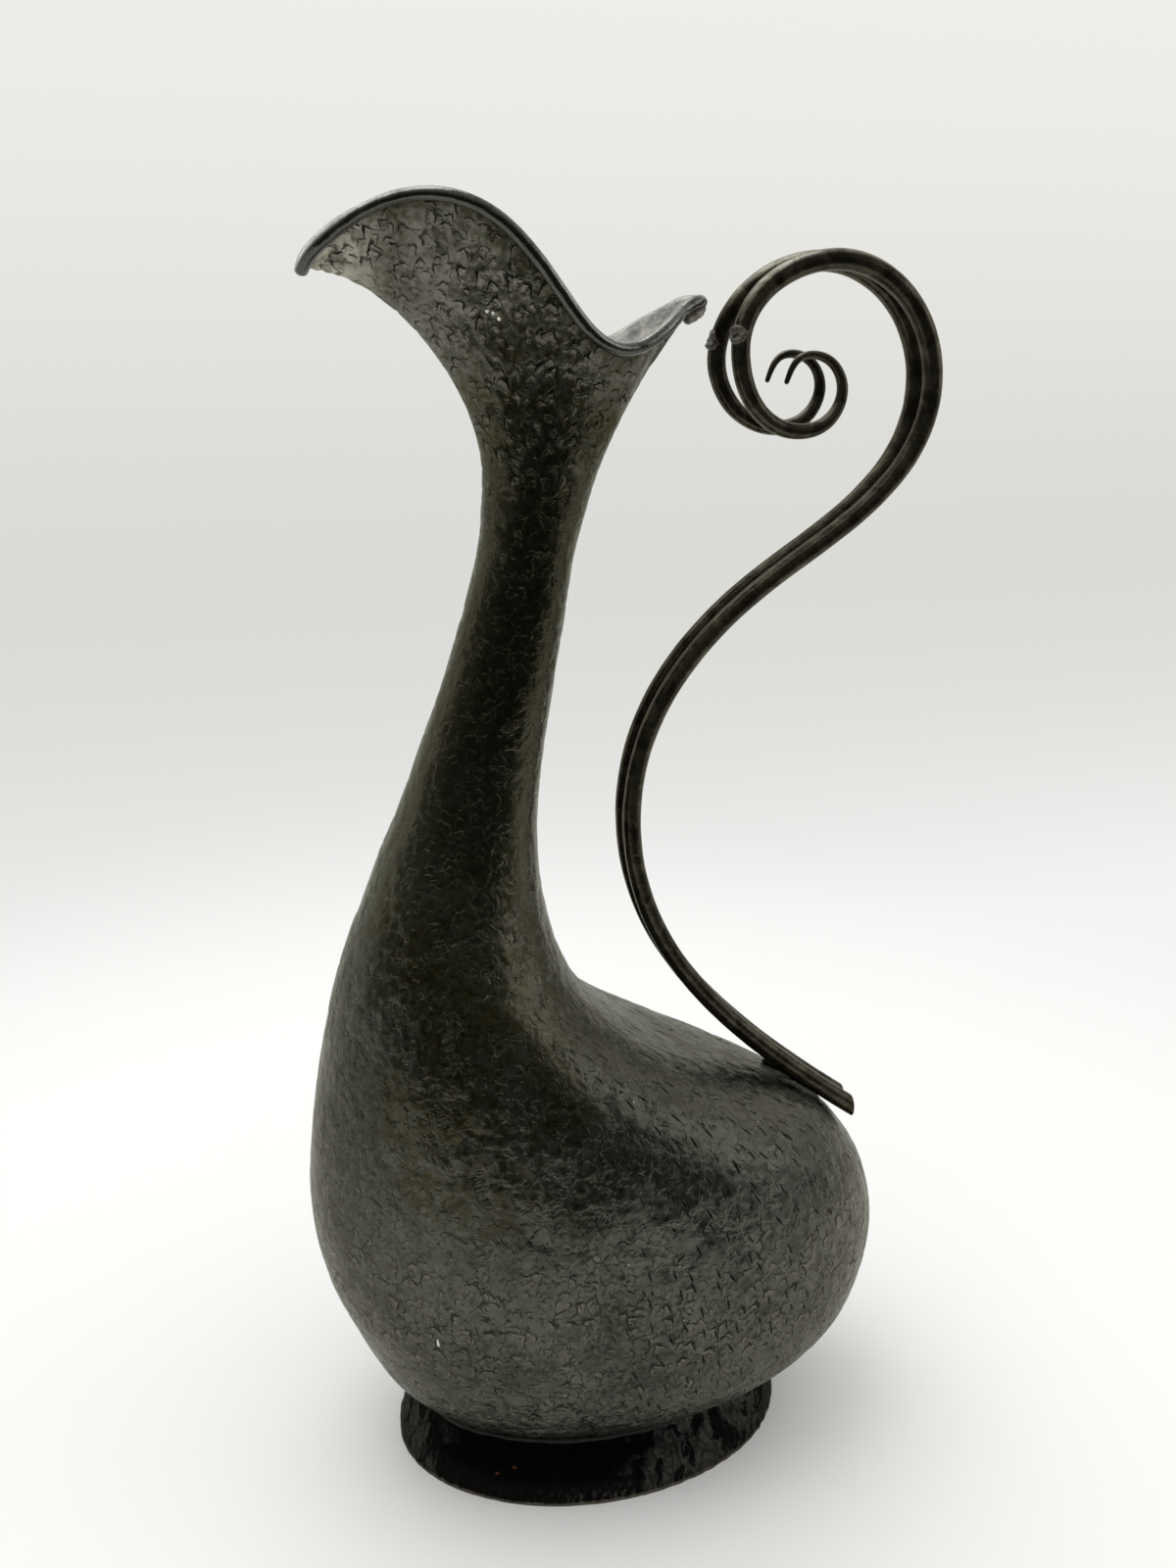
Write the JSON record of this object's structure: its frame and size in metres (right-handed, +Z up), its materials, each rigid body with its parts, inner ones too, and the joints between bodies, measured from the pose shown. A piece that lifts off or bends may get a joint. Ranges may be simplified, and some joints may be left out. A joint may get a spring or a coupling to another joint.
{
  "type": "ewer",
  "caption": "Tall hammered copper ewer with a slanted neck, a broad spout with a wired lip, a flared oval foot and a scrolled rod handle soldered to its tail.",
  "frame": {"origin": "on the ground under the middle of the whole object, at the bottom of the foot", "axes": "+Z up, -X towards the spout, +X towards the handle, and the object is the same on both sides of the XZ plane"},
  "size_m": [0.1915, 0.122, 0.3779],
  "materials": {
    "patinated_copper": "dark patinated copper sheet with dense hammer and chisel nicks, semi-gloss",
    "foot_patina": "near-black patinated copper with upright tool marks",
    "dark_rod": "smooth dark brown patina, semi-gloss",
    "grey_solder": "dull rough solder",
    "plain_wire": "plain drawn copper wire"
  },
  "bodies": {
    "root": {"body_shell": "patinated_copper", "base_disc": "patinated_copper", "foot_skirt": "foot_patina", "foot_solder_ring": "grey_solder", "rim_wire": "plain_wire", "left_handle_rod": "dark_rod", "right_handle_rod": "dark_rod", "left_handle_solder": "grey_solder", "right_handle_solder": "grey_solder", "left_scroll_scar": "grey_solder", "right_scroll_scar": "grey_solder", "lip_solder_scar": "grey_solder"}
  },
  "joints": []
}
